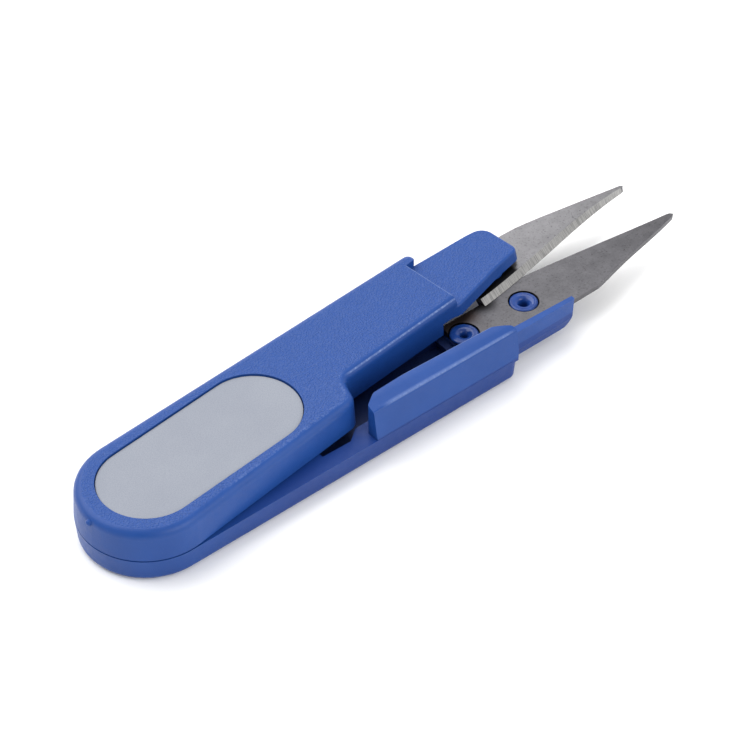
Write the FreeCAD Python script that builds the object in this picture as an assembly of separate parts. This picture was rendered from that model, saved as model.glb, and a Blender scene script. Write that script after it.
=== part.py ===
import FreeCAD, Part
import math
import os

# Thread snips, millimetres, +Z up. The origin is on the pivot axis at the resting plane, +X runs
# along the lower handle to the blade tips. Each half is drawn closed, then the upper one is opened.

# ---- driving dimensions ----
OPEN_DEG = 7.4          # opening at rest, held by the return spring
HEIGHT = 10.3           # whole thickness of the two handles
Z_PART = 4.5            # parting plane between the handles
Z_CUT = 5.15            # plane where the two blades slide on each other
SLIT = 0.10             # half the gap between the handles
REAR_X = -11.15         # rearmost point
REAR_R = 11.4           # round rear end
TAPER = 0.036           # side taper, mm per mm
WING_TAPER = (0.029, 0.0355)    # the same on the wing's side, upper and lower half
BLADE_T = 0.85          # blade thickness
BLADE_SLIT = 0.03       # half the gap between the blades
BEVEL = 1.0             # width of the ground bevel
INLAY = (11.7, 38.2, 16.2)      # centre X, length, width
INLAY_T = (0.62, 0.93)  # upper one recessed, lower one flush with the resting plane
INLAY_GAP = 0.12
RECESS = 0.95
GATE_DEG, GATE_Z = 176.6, 9.0   # gate mark of the upper moulding
STEP_X = 64.4           # where the handle steps down to the arm
HEEL_X = 61.0           # where the deep part of the handle ends
WING_X = (37.4, 67.6)   # outer ends of a wing
WING_IN = 5.05          # inner wall of a wing
RIVET_R = 1.6
BOSS_R = 4.1
STAKES = ((76.45, 0.57, 0.75), (63.7, 0.51, 0.55))  # X, Y, hole radius
HEAD_R = 2.45
HEAD_GAP = 0.13
SPRING_R = 5.3          # mean coil radius
WIRE_R = 0.4

V = FreeCAD.Vector
UP = V(0, 0, 1)


def half_width(x, taper=TAPER):
    return REAR_R * math.hypot(1, taper) - taper * (x - REAR_X - REAR_R)


def rounded_wire(corners, z):
    """Closed wire through corners (x, y, radius) with tangent arcs."""
    n = len(corners)
    arcs = []
    for i in range(n):
        ax, ay = corners[i - 1][:2]
        bx, by, r = corners[i]
        cx, cy = corners[(i + 1) % n][:2]
        u = V(ax - bx, ay - by, 0).normalize()
        w = V(cx - bx, cy - by, 0).normalize()
        half = u.getAngle(w) / 2
        b = V(bx, by, z)
        if r < 0.01 or abs(half - math.pi / 2) < 1e-4:
            arcs.append((b, b, b))
            continue
        t = r / math.tan(half)
        mid = (u + w).normalize() * (r / math.sin(half) - r)
        arcs.append((b + u * t, b + mid, b + w * t))
    edges = []
    for i in range(n):
        p, m, q = arcs[i]
        if (q - p).Length > 1e-4:
            edges.append(Part.Arc(p, m, q).toShape())
        s = arcs[(i + 1) % n][0]
        if (s - q).Length > 1e-4:
            edges.append(Part.makeLine(q, s))
    return Part.Wire(edges)


def inset(corners, d):
    """Move every side of a counter-clockwise outline inwards by d and correct the radii."""
    n = len(corners)
    out = []
    for i in range(n):
        a, b, c = corners[i - 1], corners[i], corners[(i + 1) % n]
        u = V(b[0] - a[0], b[1] - a[1], 0).normalize()
        w = V(c[0] - b[0], c[1] - b[1], 0).normalize()
        cross = u.x * w.y - u.y * w.x
        nu, nw = V(-u.y, u.x, 0), V(-w.y, w.x, 0)
        k = d / (1 + nu.dot(nw))
        r = b[2] - math.copysign(d, cross) if b[2] > 0.01 else 0
        out.append((b[0] + (nu.x + nw.x) * k, b[1] + (nu.y + nw.y) * k, max(r, 0)))
    return out


def prism(corners, z0, z1, draft=0.0):
    """Solid between z0 and z1; with a draft the z1 outline is smaller by that much."""
    low = rounded_wire(corners, z0)
    if not draft:
        return Part.Face(low).extrude(V(0, 0, z1 - z0))
    return Part.makeLoft([low, rounded_wire(inset(corners, draft), z1)], True, True)


def edges_where(shape, test):
    return [e for e in shape.Edges if all(test(v.Point) for v in e.Vertexes) and test(e.CenterOfMass)]


def at_z(z):
    return lambda p: abs(p.z - z) < 1e-3


def cylinder(x, y, r, z0, z1):
    return Part.makeCylinder(r, z1 - z0, V(x, y, z0), UP)


def cone(x, y, r0, r1, z0, z1):
    return Part.makeCone(r0, r1, z1 - z0, V(x, y, z0), UP)


def obround(cx, length, width, grow=0.0):
    a, b = length / 2 + grow, width / 2 + grow
    r = b - 0.001
    return [(cx - a, -b, r), (cx + a, -b, r), (cx + a, b, r), (cx - a, b, r)]


def turned(points):
    """Solid of revolution about Z from (radius, z) points."""
    wire = Part.makePolygon([V(r, 0, z) for r, z in points + points[:1]])
    return Part.Face(wire).revolve(V(0, 0, 0), UP, 360)


# ---- shared outlines, drawn for the upper half (far side is +Y) ----
def pad_outline(taper):
    """Full-width rear, cut back on the near side so that the other half's wing can pass."""
    w, x1 = half_width, WING_X[1]
    return [
        (REAR_X, -w(REAR_X), REAR_R), (36.2, -w(36.2), 2.7), (38.3, -5.4, 1.9),
        (x1, -5.15, 0), (x1, w(x1, taper), 1.6), (REAR_X, w(REAR_X, taper), REAR_R),
    ]


# spring pocket behind, and the front pocket that leaves a ledge at the foot of the wing
SPRING_POCKET = [(-6.6, -6.6, 6.6), (26.3, -6.6, 1.0), (26.3, 6.6, 1.0), (-6.6, 6.6, 6.6)]
FRONT_POCKET = [
    (28.4, -7.9, 0.6), (34.4, -7.75, 1.2), (36.9, -3.7, 2.4), (61.4, -3.6, 0.8), (61.4, WING_IN, 0.8),
    (36.5, 5.6, 1.6), (34.0, 7.5, 0.5), (28.4, 7.55, 0.15),
]


def section_wire(corners, x):
    """Rounded outline given in (y, z), standing in the plane X = x."""
    wire = rounded_wire(corners, 0)
    wire.Placement = FreeCAD.Placement(V(x, 0, 0), FreeCAD.Rotation(V(1, 1, 1), 120))
    return wire


def wing(free, root, taper):
    """Far wing of the upper half: a drafted, crowned wall from its free edge to its root."""
    def section(x):
        w = half_width(x, taper)
        return section_wire([
            (WING_IN, root, 0), (WING_IN, free + 0.1, 0.35), (WING_IN + 1.2, free - 0.1, 3.0),
            (w - 0.95, free + 0.45, 0.55), (w - 0.03, free + 5.6, 0), (w - 0.03, root, 0)], x)
    x0, x1 = WING_X
    body = Part.makeLoft([section(x0 - 1), section(x1 + 1)], True, True)
    plan = [(x0 + 10.6, WING_IN, 9.0), (64.2, WING_IN, 3.0), (x1, WING_IN + 2.0, 1.0),
            (x1, half_width(x1, taper) + 0.02, 0.5), (x0, half_width(x0, taper) + 0.1, 0.35),
            (x0, 7.5, 0.9), (x0 + 2.5, WING_IN + 0.68, 1.7)]
    body = body.common(prism(plan, free - 1, root + 1))
    # round the top of the rear end
    side = [(x0, free - 0.2, 0.9), (90, free - 0.2, 0), (90, root + 1, 0), (x0, root + 1, 0)]
    side = Part.Face(rounded_wire(side, 0)).extrude(V(0, 0, 20))
    side.rotate(V(0, 0, 0), V(1, 0, 0), 90)
    side.translate(V(0, 20, 0))
    return body.common(side)


ARM_TOP = 8.8           # outer face of the upper arm
ARM_EDGE = 6.8          # free edge of its near wall
ARM_RIM = 2.9           # free edge of its far rim


def arm(outline, rim_y, round_nose):
    """Arm of the upper half: a drafted plate over the blade with a deep rim on the far side."""
    body = prism(outline, ARM_EDGE, ARM_TOP, 0.4)
    body = body.makeFillet(0.5, edges_where(body, at_z(ARM_TOP)))
    deep = prism(outline, ARM_RIM, ARM_EDGE + 0.01)
    front = max(x for x, y, r in outline) - 2.3
    body = body.fuse(deep.common(Part.makeBox(front - 64.1, 6, 10, V(64.1, rim_y, 0))))
    if round_nose:
        # the rim's end is curved up from the outer face
        nose = rounded_wire([(50, -1, 0), (front + 0.05, -1, 0), (front - 0.55, ARM_TOP, 2.8),
                             (50, ARM_TOP, 0)], 0)
        nose = Part.Face(nose).extrude(V(0, 0, 20))
        nose.rotate(V(0, 0, 0), V(1, 0, 0), 90)
        nose.translate(V(0, 20, 0))
        body = body.cut(Part.makeBox(20, 16, 20, V(70, 3.4, -1)).cut(nose))
    return body


ARM_UPPER = [(60.0, -4.4, 0), (65.0, -5.5, 1.0), (75.9, -3.4, 2.5), (82.3, -2.6, 1.7), (82.3, 6.1, 2.8),
             (78.0, 6.7, 4.0), (60.0, 7.95, 0)]
ARM_LOWER = [(60.0, -4.4, 0), (65.0, -5.5, 1.0), (77.4, -3.3, 2.5), (84.3, -2.6, 1.7), (84.3, 5.75, 3.3),
             (79.0, 6.2, 5.0), (60.0, 6.95, 0)]


def handle_half(outline_arm, thick, rim_y, taper, is_upper):
    """One handle with its far wing and arm, drawn as the upper half with its outer face at HEIGHT."""
    part = HEIGHT - thick + SLIT
    pad = prism(pad_outline(taper), part, HEIGHT, 0.35)
    pad = pad.makeFillet(1.5 if is_upper else 1.2, edges_where(pad, at_z(HEIGHT)))
    front = [(STEP_X, -20, 0), (75, -20, 0), (75, 8.3, 0), (67.2, 8.0, 1.0), (66.6, 6.9, 0.8),
             (STEP_X, 6.75, 0)]
    pad = pad.cut(prism(front, part - 1, HEIGHT + 1))
    # the deep part stops at the heel, so that the blade's shank has room below
    pad = pad.cut(Part.makeBox(10, 20 + WING_IN, ARM_EDGE - part + 5, V(HEEL_X, -20, part - 5)))
    pad = pad.cut(prism(SPRING_POCKET, part - 1, HEIGHT - RECESS - 1.05))
    pad = pad.cut(prism(FRONT_POCKET, part - 1, HEIGHT - 1.7))
    pad = pad.fuse(wing(HEIGHT - 10.2, HEIGHT - 4, taper))
    pad = pad.fuse(arm(outline_arm, rim_y, not is_upper))
    pad = pad.fuse(cylinder(0, 0, BOSS_R, part + 0.15, HEIGHT - RECESS - 0.5))
    for x, y, hole in STAKES:
        pad = pad.fuse(cylinder(x, -y, 2.5, Z_CUT + BLADE_SLIT + BLADE_T + 0.02, ARM_EDGE + 0.5))
    pad = pad.cut(prism(obround(*INLAY, grow=INLAY_GAP), HEIGHT - RECESS, HEIGHT + 1))
    pad = pad.cut(cylinder(0, 0, 3.1, HEIGHT - RECESS - 0.75, HEIGHT))
    pad = pad.cut(cylinder(0, 0, RIVET_R + (0.05 if is_upper else 0.0), 0, HEIGHT))
    for x, y, hole in STAKES:
        pad = pad.cut(cylinder(x, -y, 1.6, Z_CUT, ARM_TOP - 0.5))
    if is_upper:
        # gate mark at the rear
        a = math.radians(GATE_DEG)
        pad = pad.fuse(Part.makeSphere(0.55, V(10.85 * math.cos(a), 10.85 * math.sin(a), GATE_Z)))
    return pad.removeSplitter()


def to_lower(shape):
    """Turn a half over about the X axis so that its outer face lies on the resting plane."""
    flipped = shape.copy()
    flipped.rotate(V(0, 0, HEIGHT / 2), V(1, 0, 0), 180)
    return flipped


def opened(shape):
    out = shape.copy()
    out.rotate(V(0, 0, 0), UP, OPEN_DEG)
    return out


def spline(points):
    curve = Part.BSplineCurve()
    curve.interpolate([V(*p) for p in points])
    return curve.toShape()


def blade(edge, spine, tip, shank):
    """Upper blade lying on the cut plane. Its bevel is ground on the outer face along the edge."""
    def outline(z, cut):
        e = [(x, y + cut * k, z) for x, y, k in edge]
        t = [(x, y + cut * k, z) for x, y, k in tip]
        s = [(x, y, z) for x, y in spine]
        h = [(x, y, z) for x, y in shank]
        sides = [spline(e), Part.makeLine(V(*e[-1]), V(*t[0])), Part.makeLine(V(*t[0]), V(*t[1])),
                 Part.makeLine(V(*t[1]), V(*s[0])), spline(s)]
        chain = [s[-1]] + h + [e[0]]
        sides += [Part.makeLine(V(*a), V(*b)) for a, b in zip(chain, chain[1:])]
        return Part.Wire(sides)
    z0 = Z_CUT + BLADE_SLIT
    body = Part.makeLoft([outline(z0, 0.0), outline(z0 + BLADE_T, BEVEL)], True, True)
    for x, y, hole in STAKES:
        body = body.cut(cylinder(x, -y, HEAD_R + HEAD_GAP, z0 - 1, z0 + 0.3))
        body = body.cut(cone(x, -y, HEAD_R + HEAD_GAP, 1.9, z0 + 0.299, z0 + BLADE_T + 0.001))
    return body


def stake(x, y, hole):
    """Hollow rivet with a rounded, countersunk head, head down at the cut plane."""
    z0 = Z_CUT + BLADE_SLIT + 0.02
    z1, end = z0 + BLADE_T, ARM_TOP - 0.9

    def arc(a, m, b):
        return Part.Arc(V(a[0], 0, z0 + a[1]), V(m[0], 0, z0 + m[1]), V(b[0], 0, z0 + b[1])).toShape()
    roll = 1.0          # the hole's mouth is a quarter roll
    k = roll * (1 - math.sqrt(0.5))
    mouth, crest = (hole, roll), (hole + roll, 0)
    lip, rim = (HEAD_R - 0.45, 0), (HEAD_R, 0.3)
    chain = [V(*p) for p in ((HEAD_R, 0, z0 + 0.3), (1.8, 0, z1 - 0.07), (1.57, 0, z1 - 0.06), (1.57, 0, end),
                             (0, 0, end), (0, 0, z0 + 2.4), (hole, 0, z0 + 2.4), (hole, 0, z0 + roll))]
    edges = [arc(mouth, (hole + k, k), crest), Part.makeLine(V(crest[0], 0, z0), V(lip[0], 0, z0)),
             arc(lip, (HEAD_R - 0.1, 0.1), rim)]
    edges += [Part.makeLine(a, b) for a, b in zip(chain, chain[1:])]
    body = Part.Face(Part.Wire(Part.sortEdges(edges)[0])).revolve(V(0, 0, 0), UP, 360)
    body.translate(V(x, -y, 0))
    return body


UPPER_EDGE = [(70.5, -5.65, 1.1), (81.0, -4.92, 1.15), (96.6, -3.1, 1.0), (108.5, -2.42, 0.45)]
UPPER_TIP = [(108.9, -2.3, 0.2), (109.3, -1.85, 0.0)]
UPPER_SPINE = [(108.9, -1.45), (104.65, -0.35), (97.6, 1.45), (92.05, 2.85), (87.8, 3.75)]
UPPER_SHANK = [(84.9, 4.1), (70.0, 4.35), (61.6, 4.3), (61.6, -3.7), (66.0, -3.7), (67.0, -2.4), (70.5, -2.4)]
LOWER_EDGE = [(70.5, -5.95, 1.1), (81.0, -5.38, 0.95), (97.7, -3.86, 1.0), (110.4, -2.7, 0.45)]
LOWER_TIP = [(110.8, -2.55, 0.2), (111.2, -2.1, 0.0)]
LOWER_SPINE = [(110.7, -1.75), (103.7, 0.13), (95.6, 2.1), (90.5, 3.6), (88.9, 4.0)]
LOWER_SHANK = [(83.4, 4.3), (70.0, 4.5), (61.6, 4.4), (61.6, -4.0), (70.5, -4.35)]


def spring():
    """Torsion spring round the pivot boss; its legs push the two side walls apart."""
    z_low, z_high, leg = 2.65, 5.45, 25.0
    lean = math.radians(1.6)
    a0 = -math.pi / 2 - lean
    a1 = math.pi / 2 + lean + math.radians(OPEN_DEG) - 6 * math.pi
    turns = (a0 - a1) / (2 * math.pi)
    coil = Part.makeHelix((z_high - z_low) / turns, z_high - z_low, SPRING_R, 0, True)
    ring = Part.Wire(Part.makeCircle(WIRE_R, V(SPRING_R, 0, 0), V(0, 1, 0)))
    body = Part.Wire(coil.Edges).makePipeShell([ring], True, True)
    body.rotate(V(0, 0, 0), UP, math.degrees(a0))
    body.translate(V(0, 0, z_low))
    for a, z, side in ((a0, z_low, 1), (a1, z_high, -1)):
        end = V(SPRING_R * math.cos(a), SPRING_R * math.sin(a), z)
        way = V(-math.sin(a), math.cos(a), 0) * side
        body = body.fuse([Part.makeSphere(WIRE_R, end), Part.makeCylinder(WIRE_R, leg, end, way)])
    return body


def rivet():
    lo, hi = RECESS + 0.05, HEIGHT - RECESS - 0.05
    return turned([(0.9, lo), (2.9, lo), (2.9, lo + 0.5), (RIVET_R, lo + 0.68), (RIVET_R, hi - 0.68),
                   (2.9, hi - 0.5), (2.9, hi), (0.9, hi)])


def inlay(thick):
    base = HEIGHT - RECESS + 0.02
    body = prism(obround(*INLAY), base, base + thick)
    return body.makeFillet(0.12, edges_where(body, at_z(base + thick)))


nodes = {}
nodes["upper_handle"] = opened(handle_half(ARM_UPPER, HEIGHT - Z_PART, 6.1, WING_TAPER[0], True))
nodes["upper_blade"] = opened(blade(UPPER_EDGE, UPPER_SPINE, UPPER_TIP, UPPER_SHANK))
nodes["upper_inlay"] = opened(inlay(INLAY_T[0]))
nodes["upper_front_stake"] = opened(stake(*STAKES[0]))
nodes["upper_rear_stake"] = opened(stake(*STAKES[1]))
nodes["lower_handle"] = to_lower(handle_half(ARM_LOWER, Z_PART, 5.2, WING_TAPER[1], False))
nodes["lower_blade"] = to_lower(blade(LOWER_EDGE, LOWER_SPINE, LOWER_TIP, LOWER_SHANK))
nodes["lower_inlay"] = to_lower(inlay(INLAY_T[1]))
nodes["lower_front_stake"] = to_lower(stake(*STAKES[0]))
nodes["lower_rear_stake"] = to_lower(stake(*STAKES[1]))
nodes["pivot_rivet"] = rivet()
washer = cylinder(0, 0, BOSS_R, Z_PART - 0.22, Z_PART + 0.22)
nodes["pivot_washer"] = washer.cut(cylinder(0, 0, RIVET_R + 0.05, 0, 9))
nodes["return_spring"] = spring()

os.makedirs("parts", exist_ok=True)
for name, shape in nodes.items():
    shape.exportStep("parts/%s.step" % name)
    box = shape.BoundBox
    size = (box.XMin, box.XMax, box.YMin, box.YMax, box.ZMin, box.ZMax)
    print(name, round(shape.Volume, 1), shape.isValid(), len(shape.Solids), ["%.2f" % v for v in size])
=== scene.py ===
import math
import bpy
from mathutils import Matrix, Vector


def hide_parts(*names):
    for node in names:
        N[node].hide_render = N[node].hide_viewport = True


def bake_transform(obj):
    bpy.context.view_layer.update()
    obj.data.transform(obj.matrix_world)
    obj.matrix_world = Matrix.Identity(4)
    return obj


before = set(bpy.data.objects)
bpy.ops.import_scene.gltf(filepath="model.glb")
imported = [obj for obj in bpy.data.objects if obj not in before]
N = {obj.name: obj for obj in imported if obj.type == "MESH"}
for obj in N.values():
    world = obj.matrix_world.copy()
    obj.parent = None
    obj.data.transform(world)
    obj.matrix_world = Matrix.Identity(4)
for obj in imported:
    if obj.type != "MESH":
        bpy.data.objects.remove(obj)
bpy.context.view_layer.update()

# the part's own measures, in millimetres and degrees
MM = 1000                       # object coordinates are in metres
THICKNESS = 10.3                # both handles together
OPEN_DEG = 7.4                  # the upper half's opening at rest
PARTING = {True: 4.6, False: 5.9}       # where the upper and the lower moulding end, below their outer face
STAKE_CENTRES = ((76.45, -0.57), (63.7, -0.51))
HEAD_REACH = (2.60, 2.68)       # radius of the gap round a stake's head, and where its shade ends
HEEL_CORNER = (70.8, -4.4)      # corner of the lower blade's heel


# ---------------------------------------------------------------- node helpers
class Net:
    """Short-hand for building one material's node tree."""

    def __init__(self, name):
        self.mat = bpy.data.materials.new(name)
        self.mat.use_nodes = True
        self.t = self.mat.node_tree
        self.t.nodes.clear()
        out = self.t.nodes.new("ShaderNodeOutputMaterial")
        self.bsdf = self.t.nodes.new("ShaderNodeBsdfPrincipled")
        self.t.links.new(self.bsdf.outputs[0], out.inputs["Surface"])
        coord = self.t.nodes.new("ShaderNodeTexCoord")
        self.obj = coord.outputs["Object"]
        self.nrm = coord.outputs["Normal"]

    def put(self, sock, value):
        """Link a socket or set a constant."""
        if hasattr(value, "is_linked") or hasattr(value, "links"):
            self.t.links.new(value, sock)
        else:
            sock.default_value = value

    def add(self, kind, out=0, props=(), **ins):
        """New node of that kind; inputs go by name, or by index as i0, i1 and so on."""
        n = self.t.nodes.new(kind)
        for k, v in dict(props).items():
            setattr(n, k, v)
        for k, v in ins.items():
            key = int(k[1:]) if k[0] == "i" and k[1:].isdigit() else k.replace("_", " ")
            self.put(n.inputs[key], v)
        return n.outputs[out]

    def math(self, op, a, b=0.0):
        n = self.t.nodes.new("ShaderNodeMath")
        n.operation = op
        for s, v in zip(n.inputs, (a, b)):
            self.put(s, v)
        return n.outputs[0]

    def scaled(self, vec, scale, rot=(0, 0, 0)):
        n = self.t.nodes.new("ShaderNodeMapping")
        self.put(n.inputs["Vector"], vec)
        n.inputs["Scale"].default_value = scale
        n.inputs["Rotation"].default_value = rot
        return n.outputs[0]

    def noise(self, vec, scale, detail=3.0, rough=0.55, out=0):
        return self.add("ShaderNodeTexNoise", out, Vector=vec, Scale=scale, Detail=detail, Roughness=rough)

    def voronoi(self, vec, scale, feature="F1"):
        """Distance output."""
        n = self.t.nodes.new("ShaderNodeTexVoronoi")
        n.feature = feature
        self.put(n.inputs["Vector"], vec)
        n.inputs["Scale"].default_value = scale
        return n.outputs[0]

    def ramp(self, fac, lo, hi, a=0.0, b=1.0):
        """Smooth step from a at lo to b at hi."""
        n = self.t.nodes.new("ShaderNodeMapRange")
        self.put(n.inputs["Value"], fac)
        for k, v in (("From Min", lo), ("From Max", hi), ("To Min", a), ("To Max", b)):
            n.inputs[k].default_value = v
        n.clamp = True
        n.interpolation_type = "SMOOTHSTEP"
        return n.outputs[0]

    def mix(self, fac, a, b):
        n = self.t.nodes.new("ShaderNodeMix")
        n.data_type = "RGBA"
        self.put(n.inputs[0], fac)
        self.put(n.inputs[6], a)
        self.put(n.inputs[7], b)
        return n.outputs[2]

    def bump(self, height, dist, strength=1.0, normal=None):
        n = self.t.nodes.new("ShaderNodeBump")
        self.put(n.inputs["Height"], height)
        n.inputs["Distance"].default_value = dist
        self.put(n.inputs["Strength"], strength)
        if normal is not None:
            self.t.links.new(normal, n.inputs["Normal"])
        return n.outputs[0]

    def distance(self, vec, place):
        """Distance in plan from a point (x, y); vec has no height."""
        return self.add("ShaderNodeVectorMath", "Value", {"operation": "DISTANCE"}, i0=vec, i1=(*place, 0))

    def xyz(self, vec):
        n = self.t.nodes.new("ShaderNodeSeparateXYZ")
        self.put(n.inputs[0], vec)
        return n.outputs

    def set(self, **ins):
        for k, v in ins.items():
            self.put(self.bsdf.inputs[k.replace("_", " ")], v)


LIGHT = 1.3                     # all lights are this much stronger and all colours this much darker


def rgb(r, g, b):
    """sRGB 0-255 to linear with alpha."""
    def f(c):
        c /= 255
        return (c / 12.92 if c <= 0.04045 else ((c + 0.055) / 1.055) ** 2.4) / LIGHT
    return (f(r), f(g), f(b), 1.0)


# ---------------------------------------------------------------- materials
BLUE = rgb(33, 79, 157)
BLUE_DEEP = rgb(29, 73, 148)
# painted light: a lighter blue for the grained tops, and a lighter one still for the grain's crests, partly
# wear and partly painted highlight
BLUE_TOP_PAINTED_LIGHT = rgb(40, 81, 157)
BLUE_WEAR_AND_SHEEN = rgb(84, 112, 168)
# rubbing and painted highlight for the edges
EDGE_RUB_AND_HIGHLIGHT = rgb(150, 172, 220)
SPECK = rgb(120, 140, 185)
# painted shade for the inside of the pockets
POCKET_SHADE_PAINT = rgb(24, 32, 70)
SHADED = rgb(0, 38, 118)
# painted shade, black, under the arm and round the lower heel
BLACK_SHADE_PAINT = rgb(16, 15, 16)
# painted shade and reflection of the handle above, brown on the lower shank
BROWN_SHADE_PAINT = rgb(84, 62, 50)
# painted shade round the stakes' heads
STAKE_GAP_SHADE = rgb(18, 18, 22)


def product(m, *factors):
    """Masks multiplied together."""
    out = factors[0]
    for f in factors[1:]:
        out = m.math("MULTIPLY", out, f)
    return out


def largest(m, *values):
    out = values[0]
    for v in values[1:]:
        out = m.math("MAXIMUM", out, v)
    return out


def band(m, value, lo, hi, soft):
    """1 between lo and hi, 0 outside."""
    return m.math("MULTIPLY", m.ramp(value, lo - soft, lo), m.ramp(value, hi, hi + soft, 1.0, 0.0))


def blue_plastic(name, upper):
    m = Net(name)
    nz = m.math("ABSOLUTE", m.xyz(m.nrm)[2])
    # both mouldings share one drawing: millimetres, own axis along X, wing on +Y, outer face at the top
    turn = math.radians(-OPEN_DEG) if upper else 0.0
    x, y, z = m.xyz(m.scaled(m.obj, (MM, MM, MM), rot=(0, 0, turn)))
    if not upper:
        y = m.math("MULTIPLY", y, -1.0)
        z = m.math("SUBTRACT", THICKNESS, z)
    part = PARTING[upper]
    flat = m.ramp(nz, 0.965, 0.995)
    outer = m.ramp(z, 8.62, 8.72)
    # moulded leather grain: soft pebbles about 0.3 mm across, only on the outer flat faces
    drift = m.noise(m.obj, 2600, 2, out=1)
    warp = m.add("ShaderNodeVectorMath", props={"operation": "MULTIPLY_ADD"},
                 i0=drift, i1=(0.0002, 0.0002, 0.0002), i2=m.obj)
    pebble = m.ramp(m.voronoi(warp, 3300, "SMOOTH_F1"), 0.1, 0.7, 1.0, 0.0)
    fine = m.noise(m.obj, 6500, 2)
    height = m.math("ADD", m.math("MULTIPLY", pebble, 0.7), m.math("MULTIPLY", fine, 0.45))
    grained = product(m, flat, outer)
    grainy = m.bump(height, 0.00015, grained)
    # very slight moulding waviness and fine rubbing marks on the smooth sides
    waves = m.noise(m.scaled(m.obj, (1, 1, 2.5)), 260, 2)
    wavy = m.bump(waves, 0.00003, 0.25, grainy)
    rub = m.noise(m.scaled(m.obj, (0.12, 1, 1), rot=(0, 0, 0.3)), 9000, 2, 0.7)
    relief = m.bump(rub, 0.000012, m.math("SUBTRACT", 1.0, flat), wavy)
    # clouded blue; the grained tops are painted lighter than the sides as painted light, and the grain's
    # crests lighter still, partly wear and partly painted highlight
    cloud = m.noise(m.obj, 90, 4, 0.6)
    base = m.mix(m.ramp(cloud, 0.3, 0.7), BLUE_DEEP, BLUE)
    base = m.mix(product(m, grained, 0.9), base, BLUE_TOP_PAINTED_LIGHT)
    base = m.mix(product(m, grained, m.ramp(pebble, 0.2, 1.0, 0.0, 0.17)), base, BLUE_WEAR_AND_SHEEN)
    specks = m.ramp(m.noise(m.obj, 3600, 1, 0.4), 0.74, 0.80)
    base = m.mix(product(m, specks, 0.12), base, SPECK)
    # painted highlights on edges: the pad's rounded rim is partly rubbed and partly painted highlight; the
    # step, the cut, and the wing's crest and inner edge carry painted highlight lines
    broken = m.ramp(m.noise(m.scaled(m.obj, (1, 1, 0.3)), 1900, 4, 0.75), 0.42, 0.66)
    rim = product(m, band(m, nz, 0.93, 0.985, 0.02), outer, broken,
                  band(m, x, 10.0, 37.0, 3.0), m.ramp(y, 0.0, -5.0), 0.20)
    step = product(m, band(m, x, 64.3, 64.5, 0.05), band(m, y, -5.2, 6.7, 0.1),
                   m.ramp(z, 10.2, 10.28), m.ramp(broken, 0.0, 1.0, 0.28, 0.42))
    from_cut = m.math("SUBTRACT", y, m.math("MULTIPLY", x, 0.0086))
    cut = product(m, band(m, x, 40.0, 63.6, 1.5), band(m, from_cut, -5.02, -4.86, 0.08),
                  m.ramp(z, 9.6, 9.9), m.ramp(broken, 0.0, 1.0, 0.25, 0.6))
    crest = product(m, band(m, x, 42.0, 65.0, 3.0), m.ramp(y, 6.0, 6.5), band(m, z, 0.49, 0.57, 0.12),
                    m.ramp(broken, 0.0, 1.0, 0.30, 0.46))
    inner = product(m, band(m, x, 43.0, 66.0, 3.0), band(m, y, 5.0, 5.25, 0.08),
                    band(m, z, 0.0, 0.36, 0.06), 0.35)
    # painted highlights and rubbing laid over the base
    base = m.mix(largest(m, rim, step, cut, crest, inner), base, EDGE_RUB_AND_HIGHLIGHT)
    # painted shade: the inside of the pockets is darkened
    rear = product(m, band(m, x, -6.9, 27.5, 0.2), band(m, y, -6.9, 6.9, 0.1))
    wide = product(m, band(m, x, 27.8, 36.6, 0.2), band(m, y, -8.2, 8.0, 0.1))
    slim = product(m, band(m, x, 35.8, 61.6, 0.2), band(m, y, -3.95, 5.45, 0.15))
    pocket_shade = product(m, largest(m, rear, wide, slim), band(m, z, part + 0.08, 8.7, 0.06))
    base = m.mix(product(m, pocket_shade, 0.80), base, POCKET_SHADE_PAINT)
    if not upper:
        # the shaded outer side near the table
        low = product(m, band(m, z, part - 0.1, 11.0, 0.3), m.ramp(y, 5.0, 6.0), m.ramp(x, -8.0, 24.0))
        base = m.mix(product(m, low, 0.50), base, SHADED)
    rough = m.ramp(m.noise(m.obj, 700, 4, 0.65), 0.3, 0.7, 0.34, 0.45)
    rough = m.math("ADD", rough, m.math("MULTIPLY", flat, 0.09))
    m.set(Base_Color=base, Roughness=rough, Normal=relief)
    m.bsdf.inputs["IOR"].default_value = 1.49
    m.bsdf.inputs["Specular IOR Level"].default_value = 0.28
    return m.mat


def stake_plastic():
    m = Net("stake_plastic_gloss")
    cloud = m.noise(m.obj, 600, 3)
    base = m.mix(m.ramp(cloud, 0.3, 0.7), rgb(24, 60, 132), rgb(34, 72, 148))
    n = m.bump(m.noise(m.obj, 1500, 3), 0.00003, 0.3)
    rough = m.ramp(m.noise(m.obj, 1900, 3), 0.3, 0.7, 0.08, 0.16)
    m.set(Base_Color=base, Roughness=rough, Normal=n)
    m.bsdf.inputs["IOR"].default_value = 1.45
    m.bsdf.inputs["Specular IOR Level"].default_value = 0.4
    return m.mat


def inlay_plastic():
    m = Net("inlay_matte")
    fine = m.noise(m.obj, 5200, 3, 0.6)
    mid = m.noise(m.obj, 2100, 2, 0.5)
    height = m.math("ADD", m.math("MULTIPLY", fine, 0.6), m.math("MULTIPLY", mid, 0.5))
    n = m.bump(height, 0.00006, 0.7)
    tone = m.noise(m.obj, 60, 4, 0.6)
    base = m.mix(m.ramp(tone, 0.3, 0.7), rgb(146, 151, 163), rgb(152, 157, 168))
    base = m.mix(m.ramp(fine, 0.4, 0.7, 0.0, 0.40), base, rgb(124, 130, 145))
    rough = m.ramp(fine, 0.3, 0.7, 0.55, 0.68)
    m.set(Base_Color=base, Roughness=rough, Normal=n)
    m.bsdf.inputs["IOR"].default_value = 1.45
    return m.mat


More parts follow.
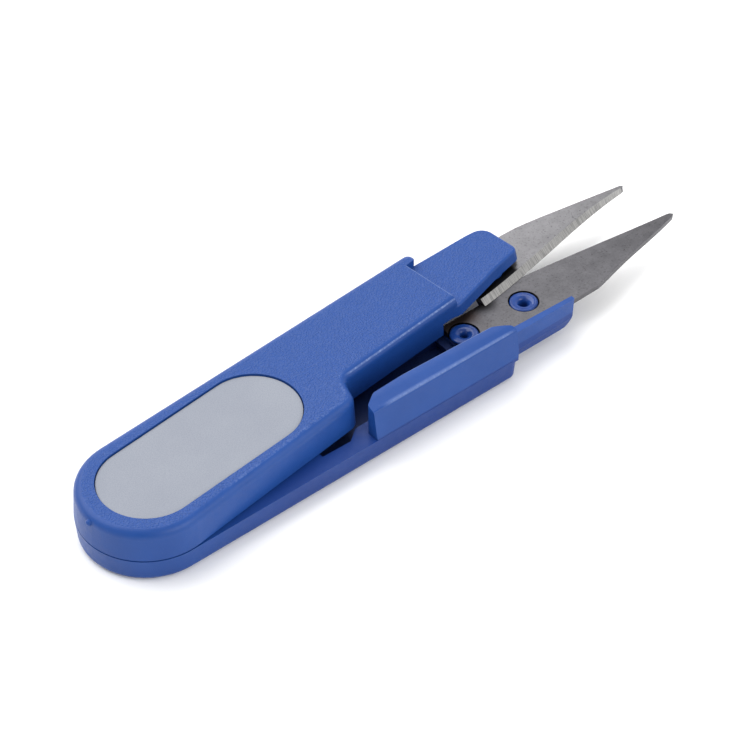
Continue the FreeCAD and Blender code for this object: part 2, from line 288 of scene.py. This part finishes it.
def blade_steel(name, upper):
    """Satin on the inner face; the outer face, which carries the bevel, is brighter."""
    m = Net(name)
    side = 1.0 if upper else -1.0
    turn = math.radians(-OPEN_DEG) if upper else 0.0
    plan = m.scaled(m.obj, (MM, MM * side, 0), rot=(0, 0, turn))
    x, y = m.xyz(plan)[:2]
    up = m.xyz(m.nrm)[2]
    nz = m.math("ABSOLUTE", up)
    outer = m.ramp(m.math("MULTIPLY", up, side), 0.2, 0.5)
    bevel = m.math("MULTIPLY", m.ramp(nz, 0.93, 0.97, 1.0, 0.0), m.ramp(nz, 0.35, 0.5))
    # rolled sheet: long fine lines, mottling, specks and a few pits
    roll = m.noise(m.scaled(m.obj, (0.06, 1, 1)), 7000, 3, 0.6)
    mottle = m.noise(m.obj, 420, 5, 0.65)
    speck = m.noise(m.obj, 2600, 3, 0.7)
    pits = m.ramp(m.voronoi(m.obj, 900), 0.0, 0.18, 1.0, 0.0)
    pits = m.math("MULTIPLY", pits, m.ramp(m.noise(m.obj, 170, 2), 0.48, 0.6))
    # grinding marks across the bevel
    grind = m.noise(m.scaled(m.obj, (1, 0.045, 0.045)), 7500, 2, 0.6)
    inner_base = m.mix(m.ramp(mottle, 0.3, 0.72), rgb(99, 98, 102), rgb(110, 109, 113))
    outer_base = m.mix(m.ramp(mottle, 0.3, 0.72), rgb(134, 133, 136), rgb(146, 145, 148))
    flat_base = m.mix(outer, inner_base, outer_base)
    flat_base = m.mix(m.ramp(speck, 0.54, 0.72, 0.0, 0.60), flat_base, rgb(62, 60, 62))
    flat_base = m.mix(m.ramp(speck, 0.28, 0.42, 0.10, 0.0), flat_base, rgb(176, 175, 178))
    flat_base = m.mix(m.math("MULTIPLY", pits, 0.75), flat_base, rgb(50, 46, 46))
    ground = m.mix(m.ramp(grind, 0.3, 0.7), rgb(146, 145, 145), rgb(196, 195, 193))
    if upper:
        # painted shadow: black on the blade where the arm above shades it
        black_shade = product(m, m.ramp(x, 79.8, 80.8, 1.0, 0.0), outer, 0.97)
    else:
        # painted shade and reflection: the handle above darkens the shank to a brown
        brown_shade = product(m, m.ramp(x, 66.5, 70.0, 1.0, 0.0), m.ramp(y, -3.6, -0.6, 1.0, 0.1), 0.7)
        flat_base = m.mix(brown_shade, flat_base, BROWN_SHADE_PAINT)
        # painted shade: black round the heel corner, where the parts above overhang the shank
        black_shade = m.ramp(m.distance(plan, HEEL_CORNER), 0.8, 3.4, 0.92, 0.0)
    flat_base = m.mix(black_shade, flat_base, BLACK_SHADE_PAINT)
    base = m.mix(bevel, flat_base, ground)
    # painted shade in the gap round each stake's head and on the blade just beside it
    for centre in STAKE_CENTRES:
        shade = m.ramp(m.distance(plan, centre), *HEAD_REACH, 1.0, 0.0)
        base = m.mix(shade, base, STAKE_GAP_SHADE)
    rough = m.math("ADD", m.ramp(mottle, 0.3, 0.7, 0.33, 0.39), m.math("MULTIPLY", bevel, -0.04))
    n = m.bump(roll, 0.000012, m.math("SUBTRACT", 0.8, m.math("MULTIPLY", bevel, 0.8)))
    n = m.bump(grind, 0.00002, m.math("MULTIPLY", bevel, 0.35), n)
    n = m.bump(speck, 0.00001, m.math("SUBTRACT", 0.4, m.math("MULTIPLY", bevel, 0.4)), n)
    m.set(Base_Color=base, Roughness=rough, Normal=n)
    m.bsdf.inputs["Metallic"].default_value = 0.85
    m.bsdf.inputs["Anisotropic"].default_value = 0.3
    return m.mat


def plain_metal(name, lo, hi, scale=(1, 1, 1)):
    m = Net(name)
    t = m.noise(m.scaled(m.obj, scale), 3000, 4, 0.6)
    base = m.mix(m.ramp(t, 0.3, 0.7), rgb(*lo), rgb(*hi))
    m.set(Base_Color=base, Roughness=m.ramp(t, 0.3, 0.7, 0.25, 0.45), Normal=m.bump(t, 0.00002, 0.3))
    m.bsdf.inputs["Metallic"].default_value = 1.0
    return m.mat


def nylon():
    m = Net("washer_nylon")
    t = m.noise(m.obj, 2500, 3, 0.6)
    base = m.mix(m.ramp(t, 0.3, 0.7), rgb(214, 212, 202), rgb(228, 226, 218))
    m.set(Base_Color=base, Roughness=m.ramp(t, 0.3, 0.7, 0.4, 0.55), Normal=m.bump(t, 0.00002, 0.3))
    m.bsdf.inputs["IOR"].default_value = 1.5
    return m.mat


stakes = stake_plastic()
inlay = inlay_plastic()
steel_up = blade_steel("blade_steel_upper", True)
steel_low = blade_steel("blade_steel_lower", False)
finish = {
    "upper_handle": blue_plastic("handle_blue_upper", True),
    "lower_handle": blue_plastic("handle_blue_lower", False),
    "upper_inlay": inlay, "lower_inlay": inlay,
    "upper_blade": steel_up, "lower_blade": steel_low,
    "upper_front_stake": stakes, "upper_rear_stake": stakes,
    "lower_front_stake": stakes, "lower_rear_stake": stakes,
    "pivot_rivet": plain_metal("rivet_zinc", (170, 172, 176), (205, 206, 208)),
    "pivot_washer": nylon(),
    "return_spring": plain_metal("spring_wire", (120, 120, 124), (160, 160, 163), (0.2, 1, 1)),
}
for name, mat in finish.items():
    for s in N[name].material_slots:
        s.material = mat

# the spring is shown as a still copy, spring_coil, and the imported one is hidden; the real spring winds up
# as the handles close, its low leg staying with the lower half, its high leg following the upper half
wire = bpy.data.objects.new("spring_coil", N["return_spring"].data.copy())
bpy.context.scene.collection.objects.link(wire)
wire.data.materials.clear()
wire.data.materials.append(finish["return_spring"])
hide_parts("return_spring")
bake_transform(wire)

# ---------------------------------------------------------------- floor, light, camera
floor_mat = Net("floor_pale")
tone = floor_mat.ramp(floor_mat.noise(floor_mat.obj, 3.0, 3), 0.3, 0.7)
floor_base = floor_mat.mix(tone, (0.93, 0.93, 0.93, 1), (0.95, 0.95, 0.95, 1))
floor_mat.set(Base_Color=floor_base, Roughness=0.85)
bpy.ops.mesh.primitive_plane_add(size=6, location=(0.05, 0, -0.0001))
floor = bpy.context.object
floor.name = "floor"
floor.data.materials.append(floor_mat.mat)

scene = bpy.context.scene
scene.view_settings.view_transform = "Standard"
scene.view_settings.look = "None"
world = bpy.data.worlds.new("studio")
scene.world = world
world.use_nodes = True
# a white room, darker behind the pivot end
DARK_SIDE = Vector((-0.9, -0.45, -0.1)).normalized()
ROOM = 0.70 * LIGHT
ROOM_DARK = 0.28 * LIGHT
sky = world.node_tree
direction = sky.nodes.new("ShaderNodeTexCoord").outputs["Generated"]
facing = sky.nodes.new("ShaderNodeVectorMath")
facing.operation = "DOT_PRODUCT"
sky.links.new(direction, facing.inputs[0])
facing.inputs[1].default_value = DARK_SIDE
level = sky.nodes.new("ShaderNodeMapRange")
level.interpolation_type = "SMOOTHSTEP"
sky.links.new(facing.outputs["Value"], level.inputs["Value"])
for key, value in (("From Min", 0.1), ("From Max", 0.8), ("To Min", ROOM), ("To Max", ROOM_DARK)):
    level.inputs[key].default_value = value
sky.nodes["Background"].inputs[0].default_value = (1, 1, 1, 1)
sky.links.new(level.outputs[0], sky.nodes["Background"].inputs[1])


def softbox(name, place, size, power):
    """Rectangular lamp that faces the middle of the part."""
    data = bpy.data.lights.new(name, "AREA")
    data.shape = "RECTANGLE"
    data.size, data.size_y = size
    data.energy = power * LIGHT
    o = bpy.data.objects.new(name, data)
    scene.collection.objects.link(o)
    o.location = place
    o.rotation_euler = (MIDDLE - Vector(place)).to_track_quat("-Z", "Y").to_euler()


MIDDLE = Vector((0.045, 0.0, 0.005))
softbox("key", (-0.05, 0.55, 0.75), (1.3, 1.0), 8.5)
softbox("front", (0.25, -0.75, 0.45), (0.8, 0.5), 3.0)
softbox("left", (-0.7, -0.05, 0.35), (0.5, 0.5), 0.4)

cam_data = bpy.data.cameras.new("camera")
cam_data.lens = 144.0
cam_data.sensor_width = 36.0
cam_data.clip_start = 0.01
cam_data.clip_end = 20
cam = bpy.data.objects.new("camera", cam_data)
scene.collection.objects.link(cam)
cam.location = (-0.1721, -0.2771, 0.3349)
aim = Vector((0.0426, -0.00275, 0.0103))
cam.rotation_euler = (aim - cam.location).to_track_quat("-Z", "Y").to_euler()
scene.camera = cam
